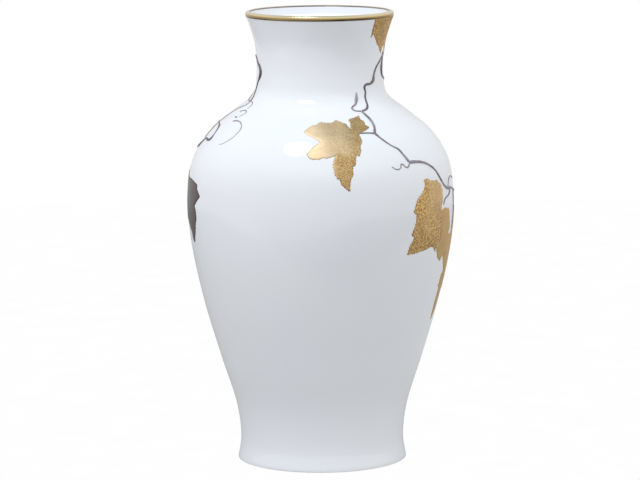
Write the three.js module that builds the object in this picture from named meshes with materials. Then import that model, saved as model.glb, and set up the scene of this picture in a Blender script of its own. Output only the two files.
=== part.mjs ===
// Porcelain baluster vase with a gilt lip and a raised grapevine in gold and graphite enamel.
// Units are millimetres and +Z is up. The origin is the middle of the foot, on the surface that it stands on.
//
// The decoration is drawn in wall coordinates: the azimuth in degrees, 0 at the front (-Y) and positive
// towards +X, and the climb, the distance in mm from the foot up along the outside of the wall.
import * as THREE from "three";
import { TessellateModifier } from "three/addons/modifiers/TessellateModifier.js";
import { mergeVertices } from "three/addons/utils/BufferGeometryUtils.js";

// ---- Driving dimensions ----

const OVERALL_HEIGHT = 300;
const LATHE_SEGMENTS = 48;
const WALL_THICKNESS_AT_FOOT = 5.5;
const WALL_THICKNESS_AT_LIP = 3.3;

// Outside of the wall from the foot to the lip: [radius, height].
const WALL_STATIONS = [
  [56.5, 0],
  [54.5, 14],
  [57, 36],
  [67.5, 70],
  [79, 110],
  [87, 150],
  [88.5, 178],
  [85, 202],
  [74, 220],
  [57.5, 234],
  [44.5, 245],
  [42, 258],
  [43, 278],
  [47, 292],
  [48.9, 296.9],
];
const WALL_LENGTH_SAMPLES = 2000;
const WALL_MAX_TURN = 7.5; // degrees between two lathe rings
const WALL_MAX_STEP = 18;
const WALL_PROBE_STEP = 0.5; // mm between the spots where the turn is measured
const INSIDE_RING_STRIDE = 2; // the inside, which is plain, has every second ring

const FOOT_RING_INNER_RADIUS = 50.5;
const FOOT_RING_EDGE = 0.8; // small chamfer outside and inside the resting face
const FOOT_RECESS = 4;
const FLOOR_HEIGHT = 10; // inside floor above the resting surface
const FLOOR_CORNER = 7; // radius of the curve between the floor and the wall
const FLOOR_CORNER_STEPS = 3;

const GILDING_THICKNESS = 0.4;
const CLEARANCE = 0.3; // between the porcelain and what is fired onto it
const LIP_RADIUS = 1.8; // rounded edge of the lip
const LIP_RING_RADIUS = 47.2; // from the axis to the middle of the rounded edge
const LIP_CENTRE_HEIGHT = OVERALL_HEIGHT - GILDING_THICKNESS - CLEARANCE - LIP_RADIUS;
const LIP_START_ANGLE = 15; // the lip's rounded edge, in degrees from straight outward
const LIP_END_ANGLE = 180;
const LIP_STEPS = 5;
const BAND_LOWER_ANGLE = -35; // the gilt band around the lip's section, in degrees from straight outward
const BAND_INNER_ANGLE = 165;
const BAND_STEPS = 5;

const LEAF_RELIEF = 0.5;
const CANE_RELIEF = 0.9;
const TENDRIL_RELIEF = 0.6;
const STROKE_STEP = 4.5; // mm between two sections of a cane
const SHEET_RADIUS = 70; // the decoration is drawn flat on a cylinder of this radius, then wrapped
const SHEET_MAX_EDGE = 8.5;
const SHEET_PASSES = 12;

// The outside of the wall as a smooth curve of radius (x) and height (y).
const WALL = wallCurve();
const WALL_LENGTH = WALL.getLength();

// ---- Materials ----

const porcelain = new THREE.MeshStandardMaterial({ color: 0xf3f6fb, roughness: 0.08, metalness: 0 });
const lipGold = new THREE.MeshStandardMaterial({ color: 0xd3ac66, roughness: 0.2, metalness: 1 });
const leafGold = new THREE.MeshStandardMaterial({ color: 0xb8904f, roughness: 0.42, metalness: 1 });
const caneEnamel = new THREE.MeshStandardMaterial({ color: 0x6c656c, roughness: 0.4, metalness: 0.3 });
const darkEnamel = new THREE.MeshStandardMaterial({ color: 0x4a3f3e, roughness: 0.45, metalness: 0.2 });

// ---- Leaf outlines in wall coordinates, counter-clockwise from the stalk ----

const FRONT_LEAF = [
  [20.8, 236], [24, 236.9], [27, 238.4], [29.5, 240.5], [27.8, 243.5], [28.2, 246.2], [26.4, 248.5],
  [26.6, 252], [23, 250.3], [20.5, 250], [18.3, 248.7], [18.5, 244.5], [17.6, 240],
  [16.3, 243], [16, 245], [13, 246.7], [9.8, 248.9], [7.5, 246.6], [4, 246.4], [0, 247], [-2.5, 244.5],
  [-5, 244], [-9, 238], [-6, 234.5], [-3, 232.5], [0, 229.2],
  [-3, 225.5], [-6.5, 220.5], [-5.8, 218.2], [-4.2, 216.4], [-0.2, 216.4], [1.2, 217.6], [3.5, 217.1],
  [7, 218.9], [6.2, 216], [5.6, 212], [6.1, 207], [7.2, 202.6], [8.2, 203.4], [8.6, 200], [10.5, 197],
  [12.3, 195], [12.6, 200], [13.2, 203.2], [14.2, 205], [14.3, 210.7], [15.6, 211.5], [16.4, 216],
  [16.9, 218.7], [18.2, 217.8], [19.4, 221], [20, 225.5], [21.4, 228.5], [21.5, 231.5],
];

const STIPPLED_LEAF = [
  [64.2, 181.5], [64.8, 185], [64.6, 189.6], [63.8, 192.9], [61.4, 195.3], [60.6, 196.8], [58.5, 196.4],
  [55.2, 197], [53, 198.7], [50.4, 198.3], [50.8, 194.9], [49.8, 192], [48.5, 190], [45.2, 186.2],
  [44.5, 182.5], [43.2, 178], [45, 176.6], [45.2, 171.6], [44, 167.5], [42.2, 163.3], [44.2, 162.3],
  [44, 159.4], [42.5, 156.4], [40.5, 150.6], [45.2, 150], [51.8, 150], [56.5, 151.3], [58.4, 150.6],
  [60, 148.7], [60.6, 151], [63.7, 156], [62.8, 162.3], [62.4, 170.3], [62.8, 176.6], [63.5, 179.4],
];

const PLAIN_LEAF = [
  [80.3, 161], [78, 158], [75.5, 157.5], [72.8, 159.4], [75.2, 161.3], [74.4, 166], [73.2, 171.2],
  [72, 175.7], [66.5, 177.1], [63.2, 176.4], [62.8, 170.3], [63.2, 162.3], [64.1, 156], [61, 150.6],
  [61.9, 148], [63, 144.7], [66.5, 141.4], [68.2, 143.4], [69.2, 145.4], [71.2, 140.7], [77, 133],
  [74.8, 130.3], [74.8, 124.7], [72.8, 123.3], [76, 121.9], [75.3, 114.9], [74.6, 110.1], [74, 104.5],
  [73.6, 99], [76.5, 105], [79, 113], [80.5, 120], [83, 119], [84, 126], [88, 124], [89, 131],
  [95, 129], [95.5, 138], [99, 142], [97, 148], [102, 154], [97, 159.5], [99.5, 167], [93, 169.5],
  [89.5, 175], [86.5, 170.5], [84.2, 164],
];

const LIP_LEAF = [
  [48.5, 317], [48.6, 313], [48.5, 306.5], [51.5, 309], [55, 306], [61, 301.5], [66, 298.8], [69.8, 294.8],
  [74, 298.8], [79, 300.8], [83.5, 297.5], [88, 291.5], [91, 298], [96, 299.5], [101, 303], [106.5, 301],
  [105.5, 307], [109, 312], [107, 317],
];

const DARK_LEAF = [
  [-88, 197], [-92, 199.5], [-97, 196], [-101, 197.5], [-103, 190.5], [-108, 186], [-105, 180.5],
  [-107, 174], [-102, 170.5], [-100.5, 164], [-98, 158], [-94, 161.5], [-90, 167], [-84, 167],
  [-80, 164.2], [-75.8, 160.4], [-75.2, 155.8], [-73, 153.6], [-70.2, 160.8], [-68.8, 167],
  [-67.5, 171.2], [-68, 175.7], [-69.5, 179.3], [-65.5, 183.7], [-63.5, 185.8], [-67, 190.4],
  [-67.2, 193.3], [-73.2, 194.9], [-82.8, 195.6],
];

// ---- Canes, shoots and tendrils: [azimuth, climb, width] along the middle ----
// clear is the length left free at the start and at the end, where the stroke meets a wider one.

const STROKES = [
  {
    name: "neck_cane",
    relief: CANE_RELIEF,
    clear: [0, 0.4],
    path: [
      [79, 295.6, 0.9], [75, 292.6, 1.1], [68, 289.3, 1.3], [61, 285.6, 1.5], [57, 281, 1.8],
      [55.5, 277.8, 2.6], [51, 276, 1.6], [45, 275.6, 1.6], [43.2, 274.2, 1.7], [43.6, 271, 1.4],
      [42, 268, 1.4], [40.5, 263, 1.4], [38.5, 259.5, 1.5], [35, 257, 1.6], [31.2, 256, 1.8],
    ],
  },
  {
    name: "neck_shoot",
    relief: CANE_RELIEF,
    clear: [1.2, 0],
    path: [
      [78.5, 293, 1], [76, 289, 2], [73.8, 284.5, 2.4], [75.5, 280.5, 2], [81, 278.3, 1.5],
      [90, 277.2, 1.2], [99, 273.5, 1], [104, 268, 0.8],
    ],
  },
  {
    name: "shoulder_shoot",
    relief: TENDRIL_RELIEF,
    clear: [0.4, 0],
    path: [
      [30.2, 256, 1.5], [27, 256.3, 1.4], [25, 257.5, 1.3], [24.6, 259.2, 1.2], [26, 260.8, 1.2],
      [29, 262.5, 1.4], [31, 265, 2], [32.6, 268, 2.2], [33.5, 271.5, 0.8],
    ],
  },
  {
    name: "shoulder_cane",
    relief: CANE_RELIEF,
    clear: [1.4, 0.4],
    path: [
      [30.5, 255.8, 1.7], [32, 252, 1.9], [33.2, 248, 1.9], [33.3, 243, 1.8], [32.3, 239, 1.7],
      [30.8, 234.8, 1.9], [31.7, 232.3, 1.6], [34, 228, 1.3], [37, 224, 1.2], [40, 221, 1.5],
      [41.5, 217, 1.6], [43, 212.8, 2],
    ],
  },
  {
    name: "front_leaf_stalk",
    relief: TENDRIL_RELIEF,
    clear: [1.6, 0.7],
    path: [[30.5, 235, 1.6], [27, 235.5, 1.3], [21.6, 235.6, 1.2]],
  },
  {
    name: "shoulder_tendril",
    relief: TENDRIL_RELIEF,
    clear: [0.5, 0],
    path: [
      [43, 209.4, 1.1], [41.8, 207.9, 1], [40.4, 208.5, 0.9], [39.4, 210.3, 0.9], [38.3, 210.2, 1],
      [38, 208.5, 0.8], [36.5, 207.2, 0.8], [34.9, 207.5, 0.7], [33, 209.5, 0.6],
    ],
  },
  {
    name: "main_cane",
    relief: CANE_RELIEF,
    clear: [0.4, 0.3],
    path: [
      [43.2, 211, 2.2], [46, 211.1, 2.1], [52, 210, 1.8], [56, 207.7, 1.6], [60, 203.7, 1.5],
      [62.5, 199.3, 1.5], [65, 194.8, 1.5], [68, 191.2, 1.8], [71, 189.5, 2.1], [75, 189, 1.7],
      [80, 187.6, 1.4], [84, 185.8, 1.6],
    ],
  },
  {
    name: "stippled_leaf_stalk",
    relief: TENDRIL_RELIEF,
    clear: [1.7, 0],
    path: [
      [74.5, 188.8, 1.3], [74, 186.6, 1.4], [72.2, 184.8, 1.4], [68.6, 183.6, 1.3], [66.2, 181.8, 1.3],
      [65.2, 179.2, 1.2],
    ],
  },
  {
    name: "main_tendril",
    relief: TENDRIL_RELIEF,
    clear: [1.3, 0],
    path: [[71.8, 190.4, 0.9], [73.3, 193.6, 0.9], [76, 195.8, 1], [80, 195.6, 0.9], [83.5, 193.4, 0.7]],
  },
  {
    name: "plain_leaf_stalk",
    relief: TENDRIL_RELIEF,
    clear: [1.3, 1],
    path: [[82.6, 186, 1.3], [82.2, 178, 1.3], [81.4, 170, 1.3], [80.6, 162, 1.2]],
  },
  {
    name: "back_cane_1",
    relief: CANE_RELIEF,
    clear: [0.4, 0.2],
    path: [[84, 185.8, 1.6], [93, 184, 1.7], [103, 185.5, 1.8], [112, 190.5, 2.3]],
  },
  {
    name: "back_cane_2",
    relief: CANE_RELIEF,
    clear: [0.3, 0.2],
    path: [[112, 190.5, 2.3], [122, 193, 1.8], [133, 197.5, 1.7], [142, 205, 1.9], [150, 208, 2.4]],
  },
  {
    name: "back_cane_3",
    relief: CANE_RELIEF,
    clear: [0.3, 0.2],
    path: [[150, 208, 2.4], [161, 208.5, 1.8], [173, 212.5, 1.7], [186, 214.5, 2.2]],
  },
  {
    name: "back_cane_4",
    relief: CANE_RELIEF,
    clear: [0.3, 0.2],
    path: [[186, 214.5, 2.2], [200, 213, 1.7], [214, 209, 1.7], [228, 208.3, 1.8], [241, 211.5, 2.3]],
  },
  {
    name: "back_cane_5",
    relief: CANE_RELIEF,
    clear: [0.3, 0.2],
    path: [[241, 211.5, 2.3], [255, 212.6, 1.8], [265, 214.6, 1.7], [273.6, 218.2, 2], [275.6, 220.6, 1.6]],
  },
  {
    name: "left_shoulder_cane",
    relief: CANE_RELIEF,
    clear: [0.4, 0],
    path: [
      [-84.3, 221.4, 1.4], [-80, 224.2, 1.5], [-74.6, 223.9, 2.2], [-71.6, 225.2, 2.3], [-72, 229.1, 1.3],
      [-73.8, 233.1, 1.3], [-77.2, 236, 1.8], [-82, 237, 1.4], [-89, 237.5, 1.4], [-98, 236.2, 1.4],
      [-107, 238.5, 1.3], [-116, 243, 1],
    ],
  },
  {
    name: "left_outer_cane",
    relief: TENDRIL_RELIEF,
    clear: [1, 1.6],
    path: [
      [-89.3, 236.6, 1.2], [-88.8, 234, 1.2], [-86.2, 230.5, 1.2], [-85.6, 226.6, 1.2], [-84.4, 223.8, 1.3],
    ],
  },
  {
    name: "left_neck_cane",
    relief: CANE_RELIEF,
    clear: [0, 0],
    path: [
      [-102, 291.5, 1.4], [-91, 292.8, 1.4], [-81.5, 291.9, 1.5], [-75.5, 288.3, 2], [-70.5, 286.5, 2.7],
      [-68, 283.2, 3], [-69.4, 280.2, 2.6], [-74, 276.7, 1.4], [-77.5, 273.1, 1.2], [-78.5, 268.6, 1.2],
      [-76.2, 265.4, 1.3], [-74.2, 262, 1.6],
    ],
  },
  {
    name: "left_neck_twig",
    relief: TENDRIL_RELIEF,
    clear: [1.3, 1.5],
    path: [
      [-74, 261.8, 1.3], [-73.6, 259, 1.2], [-78.5, 255.4, 1.1], [-84.2, 251.2, 1.1], [-89, 247, 1.1],
      [-91, 242.5, 1.1], [-90.5, 238.2, 1.1],
    ],
  },
  {
    name: "left_back_twig",
    relief: TENDRIL_RELIEF,
    clear: [2, 0],
    path: [[-74.4, 261.7, 1.2], [-84.2, 262.4, 1.1], [-91, 264.6, 1], [-97, 268.5, 0.9], [-100, 273, 0.8]],
  },
  {
    name: "left_neck_tendril",
    relief: TENDRIL_RELIEF,
    clear: [1.8, 0],
    path: [[-74, 262.2, 0.9], [-67.2, 261.3, 0.9], [-64.2, 258.4, 0.8], [-64.5, 255.4, 0.6]],
  },
  {
    name: "left_short_tendril",
    relief: TENDRIL_RELIEF,
    clear: [0, 0],
    path: [
      [-69.8, 251.2, 0.9], [-68.8, 252.4, 1], [-64, 253.6, 1], [-60.8, 252.2, 0.8], [-61.3, 249.7, 0.6],
      [-64.3, 247.5, 0.6],
    ],
  },
  {
    name: "left_bud_mark",
    relief: TENDRIL_RELIEF,
    clear: [0, 0],
    path: [[-69.3, 246.8, 0.8], [-67.5, 246.7, 1.3], [-65.3, 246, 0.9]],
  },
  {
    name: "left_curl",
    relief: TENDRIL_RELIEF,
    clear: [1.6, 0],
    path: [
      [-65.5, 242.6, 0.9], [-61.8, 243.7, 1.1], [-57.2, 243.3, 1.1], [-53.2, 241.1, 1.1], [-51.2, 238.9, 1],
      [-50, 236, 1], [-50.3, 232.7, 0.9], [-51.2, 229.4, 0.8], [-53.5, 226.3, 0.7], [-56.2, 223.8, 0.6],
      [-59, 222.7, 0.5],
    ],
  },
  {
    name: "dark_leaf_stalk",
    relief: TENDRIL_RELIEF,
    clear: [1.4, 0.9],
    path: [[-98, 213, 1.3], [-99, 208, 1.3], [-98, 204, 1.2], [-95, 200.8, 1.2]],
  },
  {
    name: "back_neck_cane_1",
    relief: CANE_RELIEF,
    clear: [0, 0.2],
    path: [[112, 299, 1.1], [120, 296, 1.3], [133, 293.5, 1.5], [146, 288, 1.8], [152, 283, 2.6]],
  },
  {
    name: "back_neck_cane_2",
    relief: CANE_RELIEF,
    clear: [1.2, 0.3],
    path: [[152, 283, 2.6], [165, 281, 1.6], [182, 284, 1.5], [200, 286, 1.8], [218, 285, 2.4]],
  },
  {
    name: "back_neck_cane_3",
    relief: CANE_RELIEF,
    clear: [1, 0.5],
    path: [[218, 285, 2.4], [236, 289.5, 1.6], [258, 291.5, 1.4]],
  },
  {
    name: "back_neck_shoot",
    relief: CANE_RELIEF,
    clear: [1.7, 0],
    path: [
      [152.5, 282, 1.6], [150, 276, 1.6], [153, 270, 1.5], [151, 264, 1.5], [155, 257, 1.6],
      [160, 252, 1.4], [161, 246, 1.2],
    ],
  },
  {
    name: "back_gold_leaf_stalk",
    relief: TENDRIL_RELIEF,
    clear: [1.6, 1],
    path: [[186.5, 215, 1.4], [188.8, 220, 1.2], [188.2, 225.6, 1.1]],
  },
  {
    name: "back_dark_leaf_stalk",
    relief: TENDRIL_RELIEF,
    clear: [1.6, 1],
    path: [[151, 208, 1.4], [150, 202, 1.3], [146.5, 196, 1.2], [146, 189, 1.1]],
  },
  {
    name: "back_hanging_leaf_stalk",
    relief: TENDRIL_RELIEF,
    clear: [1.5, 1],
    path: [[228, 208, 1.3], [226.5, 201, 1.2], [222, 195.5, 1.2], [220.5, 189, 1.1]],
  },
  {
    name: "back_curl",
    relief: TENDRIL_RELIEF,
    clear: [1.5, 0],
    path: [
      [112.5, 191, 1.1], [113, 196, 1], [116, 201, 1], [121, 204.5, 0.9], [126, 203.5, 0.9],
      [127.5, 199.5, 0.8], [124.5, 197.3, 0.7],
    ],
  },
  {
    name: "back_tendril",
    relief: TENDRIL_RELIEF,
    clear: [1.6, 0],
    path: [
      [241, 212, 1.1], [243, 217, 1], [248, 221, 1], [252, 226.5, 0.9], [249.5, 231, 0.8],
      [245, 230.5, 0.8], [244, 226.8, 0.7],
    ],
  },
];

// The leaves at the back repeat the leaves above: `flip` mirrors the outline left to right, it is made
// `size` times as large and turned by `turn` degrees about its stalk end, which moves from `from` to `to`.
const LEAVES = [
  { name: "lip_gold_leaf", outline: LIP_LEAF, material: leafGold },
  { name: "front_gold_leaf", outline: FRONT_LEAF, material: leafGold },
  { name: "stippled_gold_leaf", outline: STIPPLED_LEAF, material: leafGold },
  { name: "plain_gold_leaf", outline: PLAIN_LEAF, material: leafGold },
  { name: "left_dark_leaf", outline: DARK_LEAF, material: darkEnamel },
  {
    name: "back_gold_leaf",
    outline: movedOutline(FRONT_LEAF, { from: [20.8, 236], to: [188, 226], flip: true, size: 0.8, turn: 80 }),
    material: leafGold,
  },
  {
    name: "back_dark_leaf",
    outline: movedOutline(DARK_LEAF, { from: [-88, 197], to: [146, 188], flip: false, size: 1, turn: 14 }),
    material: darkEnamel,
  },
  {
    name: "back_hanging_gold_leaf",
    outline: movedOutline(DARK_LEAF, { from: [-88, 197], to: [220.5, 188], flip: true, size: 1, turn: -10 }),
    material: leafGold,
  },
];

// ---- Wall ----

function wallCurve() {
  const stations = WALL_STATIONS.map(([radius, height]) => new THREE.Vector3(radius, height, 0));
  const curve = new THREE.CatmullRomCurve3(stations);
  curve.arcLengthDivisions = WALL_LENGTH_SAMPLES;
  return curve;
}

function wallAt(climb) {
  const share = climb / WALL_LENGTH;
  const spot = WALL.getPointAt(share);
  const along = WALL.getTangentAt(share);
  return { radius: spot.x, height: spot.y, outward: along.y, upward: -along.x };
}

// Climbs of the lathe's rings, closer together where the wall bends more.
function ringClimbs() {
  const climbs = [0];
  let last = WALL.getTangentAt(0);
  for (let climb = WALL_PROBE_STEP; climb < WALL_LENGTH; climb += WALL_PROBE_STEP) {
    const along = WALL.getTangentAt(climb / WALL_LENGTH);
    const turned = THREE.MathUtils.radToDeg(along.angleTo(last));
    if (turned >= WALL_MAX_TURN || climb - climbs.at(-1) >= WALL_MAX_STEP) {
      climbs.push(climb);
      last = along;
    }
  }
  climbs.push(WALL_LENGTH);
  return climbs;
}

function arcPoints(centreRadius, centreHeight, radius, startDegrees, endDegrees, steps) {
  return Array.from({ length: steps + 1 }, (_, i) => {
    const angle = THREE.MathUtils.degToRad(THREE.MathUtils.lerp(startDegrees, endDegrees, i / steps));
    return new THREE.Vector2(
      centreRadius + radius * Math.cos(angle),
      centreHeight + radius * Math.sin(angle),
    );
  });
}

function turned(profile) {
  return new THREE.LatheGeometry(profile, LATHE_SEGMENTS).rotateX(Math.PI / 2);
}

// Outside, lip, inside and floor in one profile: the foot ring is part of the same porcelain.
function bodyGeometry() {
  const climbs = ringClimbs();
  const outside = [FOOT_RING_EDGE, ...climbs.slice(1)].map((climb) => {
    const { radius, height } = wallAt(climb);
    return new THREE.Vector2(radius, height);
  });
  const [[footRadius]] = WALL_STATIONS;
  const foot = [
    new THREE.Vector2(0, FOOT_RECESS),
    new THREE.Vector2(FOOT_RING_INNER_RADIUS - FOOT_RECESS, FOOT_RECESS),
    new THREE.Vector2(FOOT_RING_INNER_RADIUS - FOOT_RING_EDGE, FOOT_RING_EDGE),
    new THREE.Vector2(FOOT_RING_INNER_RADIUS, 0),
    new THREE.Vector2(footRadius - FOOT_RING_EDGE, 0),
  ];
  const lip = arcPoints(
    LIP_RING_RADIUS, LIP_CENTRE_HEIGHT, LIP_RADIUS, LIP_START_ANGLE, LIP_END_ANGLE, LIP_STEPS,
  );
  const inside = climbs
    .filter((_, i) => i % INSIDE_RING_STRIDE === 1)
    .reverse()
    .map((climb) => {
      const { radius, height, outward, upward } = wallAt(climb);
      const wall = THREE.MathUtils.lerp(WALL_THICKNESS_AT_FOOT, WALL_THICKNESS_AT_LIP, climb / WALL_LENGTH);
      return new THREE.Vector2(radius - wall * outward, height - wall * upward);
    })
    .filter(({ y }) => y > FLOOR_HEIGHT + FLOOR_CORNER && y < LIP_CENTRE_HEIGHT - LIP_RADIUS);
  const floorEdge = inside.at(-1).x - FLOOR_CORNER;
  const floorCorner = arcPoints(
    floorEdge, FLOOR_HEIGHT + FLOOR_CORNER, FLOOR_CORNER, 0, -90, FLOOR_CORNER_STEPS,
  );
  const floor = [
    ...floorCorner.slice(1),
    new THREE.Vector2(0, FLOOR_HEIGHT),
  ];
  return turned([...foot, ...outside, ...lip, ...inside, ...floor]);
}

function gildedBandGeometry() {
  const inner = LIP_RADIUS + CLEARANCE;
  const outer = inner + GILDING_THICKNESS;
  const section = [
    ...arcPoints(LIP_RING_RADIUS, LIP_CENTRE_HEIGHT, outer, BAND_LOWER_ANGLE, BAND_INNER_ANGLE, BAND_STEPS),
    ...arcPoints(LIP_RING_RADIUS, LIP_CENTRE_HEIGHT, inner, BAND_INNER_ANGLE, BAND_LOWER_ANGLE, BAND_STEPS),
  ];
  section.push(section[0].clone());
  return turned(section);
}

// ---- Decoration wrapped around the wall ----

function localMillimetres([azimuth, climb], [originAzimuth, originClimb]) {
  const across = THREE.MathUtils.degToRad(azimuth - originAzimuth) * wallAt(climb).radius;
  return new THREE.Vector2(across, climb - originClimb);
}

function movedOutline(outline, { from, to, flip, size, turn }) {
  const moved = outline.map((point) => {
    const place = localMillimetres(point, from).multiplyScalar(size);
    if (flip) place.x = -place.x;
    place.rotateAround(new THREE.Vector2(0, 0), THREE.MathUtils.degToRad(turn));
    const climb = to[1] + place.y;
    return [to[0] + THREE.MathUtils.radToDeg(place.x / wallAt(climb).radius), climb];
  });
  return flip ? moved.reverse() : moved;
}

function onSheet(azimuth, climb) {
  return new THREE.Vector2(THREE.MathUtils.degToRad(azimuth) * SHEET_RADIUS, climb);
}

// A flat outline becomes a thin plate, gets enough vertices to bend, and is laid around the wall.
function wrappedPlate(outline, relief) {
  const plate = new THREE.ExtrudeGeometry(new THREE.Shape(outline), { depth: relief, bevelEnabled: false });
  plate.deleteAttribute("normal");
  plate.deleteAttribute("uv");
  const welded = mergeVertices(plate).toNonIndexed();
  const geometry = mergeVertices(new TessellateModifier(SHEET_MAX_EDGE, SHEET_PASSES).modify(welded));
  const place = geometry.getAttribute("position");
  for (let i = 0; i < place.count; i++) {
    const azimuth = place.getX(i) / SHEET_RADIUS;
    const { radius, height, outward, upward } = wallAt(place.getY(i));
    const lift = CLEARANCE + place.getZ(i);
    const reach = radius + lift * outward;
    place.setXYZ(i, reach * Math.sin(azimuth), -reach * Math.cos(azimuth), height + lift * upward);
  }
  geometry.computeVertexNormals();
  return geometry;
}

// Outline of a stroke of changing width, with a blunt point at both ends.
function strokeOutline({ path, clear }) {
  const middle = new THREE.CatmullRomCurve3(
    path.map(([azimuth, climb, width]) => {
      const { x, y } = onSheet(azimuth, climb);
      return new THREE.Vector3(x, y, width);
    }),
  );
  const length = middle.getLength();
  const steps = Math.max(path.length, Math.ceil(length / STROKE_STEP));
  const left = [];
  const right = [];
  for (let i = 0; i <= steps; i++) {
    const share = THREE.MathUtils.lerp(clear[0] / length, 1 - clear[1] / length, i / steps);
    const spot = middle.getPointAt(share);
    const along = middle.getTangentAt(share);
    const stretch = SHEET_RADIUS / wallAt(spot.y).radius;
    const side = new THREE.Vector2(-along.y, along.x / stretch).normalize();
    side.multiplyScalar(spot.z / 2);
    left.push(new THREE.Vector2(spot.x + side.x * stretch, spot.y + side.y));
    right.push(new THREE.Vector2(spot.x - side.x * stretch, spot.y - side.y));
  }
  return [...right, ...left.reverse()];
}

// ---- Assembly ----

const vase = new THREE.Group();

function add(name, geometry, material) {
  const mesh = new THREE.Mesh(geometry, material);
  mesh.name = name;
  vase.add(mesh);
}

add("porcelain_body", bodyGeometry(), porcelain);
add("gilt_lip_band", gildedBandGeometry(), lipGold);
for (const { name, outline, material } of LEAVES) {
  const flat = outline.map(([azimuth, climb]) => onSheet(azimuth, climb));
  add(name, wrappedPlate(flat, LEAF_RELIEF), material);
}
for (const stroke of STROKES) {
  add(stroke.name, wrappedPlate(strokeOutline(stroke), stroke.relief), caneEnamel);
}

export default vase;
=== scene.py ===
"""Porcelain baluster vase with a gilt lip and a raised grapevine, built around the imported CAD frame.

The decoration is drawn as in the CAD: an azimuth in degrees, 0 at the front (-Y) and positive towards +X,
and a climb, the distance in mm from the foot up along the outside of the wall. Lengths in the drawing are in
mm and MM turns them into metres.
"""
import math

import bpy
import numpy as np
from mathutils import Matrix, Vector, noise
from mathutils.geometry import delaunay_2d_cdt


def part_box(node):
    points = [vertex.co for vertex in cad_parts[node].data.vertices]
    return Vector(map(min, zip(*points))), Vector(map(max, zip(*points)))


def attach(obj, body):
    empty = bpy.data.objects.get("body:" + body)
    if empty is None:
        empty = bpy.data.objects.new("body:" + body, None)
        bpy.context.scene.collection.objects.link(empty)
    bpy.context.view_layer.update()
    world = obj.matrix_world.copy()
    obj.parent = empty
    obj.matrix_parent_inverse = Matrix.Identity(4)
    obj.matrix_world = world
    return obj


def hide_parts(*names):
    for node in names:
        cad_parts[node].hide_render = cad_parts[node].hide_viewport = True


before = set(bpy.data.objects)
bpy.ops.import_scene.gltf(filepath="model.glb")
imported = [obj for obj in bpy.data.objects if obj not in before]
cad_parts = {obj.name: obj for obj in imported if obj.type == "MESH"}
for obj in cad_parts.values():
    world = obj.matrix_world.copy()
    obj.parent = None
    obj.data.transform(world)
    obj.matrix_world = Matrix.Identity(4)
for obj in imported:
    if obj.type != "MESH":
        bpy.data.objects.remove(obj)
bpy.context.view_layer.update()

# ---- Driving dimensions, in mm where nothing else is said ----

OVERALL_HEIGHT = 300.0
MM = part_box("gilt_lip_band")[1].z / OVERALL_HEIGHT

# Outside of the wall from the foot to the lip: (radius, height).
WALL_STATIONS = [
    (56.5, 0), (54.5, 14), (57, 36), (67.5, 70), (79, 110), (87, 150), (88.5, 178), (85, 202),
    (74, 220), (57.5, 234), (44.5, 245), (42, 258), (43, 278), (47, 292), (48.9, 296.9),
]
WALL_THICKNESS_AT_FOOT = 5.5
WALL_THICKNESS_AT_LIP = 3.3
FOOT_RING_INNER_RADIUS = 50.5
FOOT_RING_EDGE = 0.8
FOOT_RECESS = 4
FLOOR_HEIGHT = 10
FLOOR_CORNER = 7
LIP_RADIUS = 1.8
LIP_RING_RADIUS = 47.2
GILDING_FILM = 0.14
LIP_CENTRE_HEIGHT = OVERALL_HEIGHT - GILDING_FILM - LIP_RADIUS
GILT_BAND_BOTTOM = 296.5  # height where the gilding starts on the outside
GILT_BAND_INSIDE_ANGLE = 147  # where it ends inside, in degrees round the lip from straight outward
EMBED = 0.15  # how far every deposit reaches into the glaze, so that no gap shows

LATHE_SEGMENTS = 192
RING_STEP = 2.0
INSIDE_BELOW_LIP = 4  # how far below the end of the climb the inside wall starts
INSIDE_LOWEST_CLIMB = 8
INSIDE_STEPS = 130

LEAF_GRID = 0.36
LEAF_BACK_GRID = 4.0
LEAF_RELIEF = 0.34
LEAF_EDGE_ROUNDING = 0.6
LEAF_EDGE_SINK = 0.05  # how far the rim of a leaf lies in the glaze
# Painted shade darkens a leaf towards its sloping edge, over this reach.
LEAF_DARK_EDGE = 0.7  # how far in from the edge a leaf is darkened
EDGE_STEP = 0.38
TOOTH_LENGTH = 2.0
TOOTH_DEPTH = 0.75
TOOTH_DEPTH_SHARE = 0.16  # the most that a tooth takes of the length of its side
TOOTH_SIZE = 0.75  # in tooth depths, give or take the unevenness
TOOTH_UNEVENNESS = 0.9
TOOTH_PEAK = 0.62  # where along a tooth its point is
EDGE_WANDER = 0.35  # how far a side strays from straight, in tooth depths
VEIN_DEPTH = 0.03
VEIN_HALF_WIDTH = 0.75
VEIN_REACH = 0.93  # share of the way to a lobe's tip
SIDE_VEIN_ANGLE = 48  # degrees
SIDE_VEIN_PLACES = np.arange(0.25, 0.9, 0.14)  # shares of the way along the main vein
SIDE_VEIN_LENGTH = 0.3  # share of the main vein's length
SIDE_VEIN_STRENGTH = 0.5
STIPPLE_DEPTH = 0.14
STIPPLE_SIZE = 1.2  # distance between neighbouring grooves of the stipple
STIPPLE_FINER = 2.4  # how many times finer its second noise is
STIPPLE_FINER_SHARE = 0.4  # of the first noise
GROOVE_WIDTH = 0.22  # as a level of that noise, and more where the stipple is strong
GROOVE_WIDENING = 0.12
GRAIN_DEPTH = 0.02
GRAIN_SCALE = 2.3  # per mm
# Painted shade on the leaves: how much darker the stipple grooves, the sunken veins and the sloping edge are
# painted.
PIT_SHADE = 0.88  # how much darker, from 0 to 1
VEIN_SHADE = 0.05
EDGE_SHADE = 0.5

STROKE_STEP = 0.5
STROKE_HEIGHT = 0.12
STROKE_HEIGHT_BY_WIDTH = 0.3  # added for each mm of width
STROKE_UNEVENNESS = 0.16  # share of its width by which a stroke swells and thins
STROKE_TAPER = 0.5  # how far from its end a stroke is full, in widths
STROKE_ROUNDING = 9  # points over the top of a stroke

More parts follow.
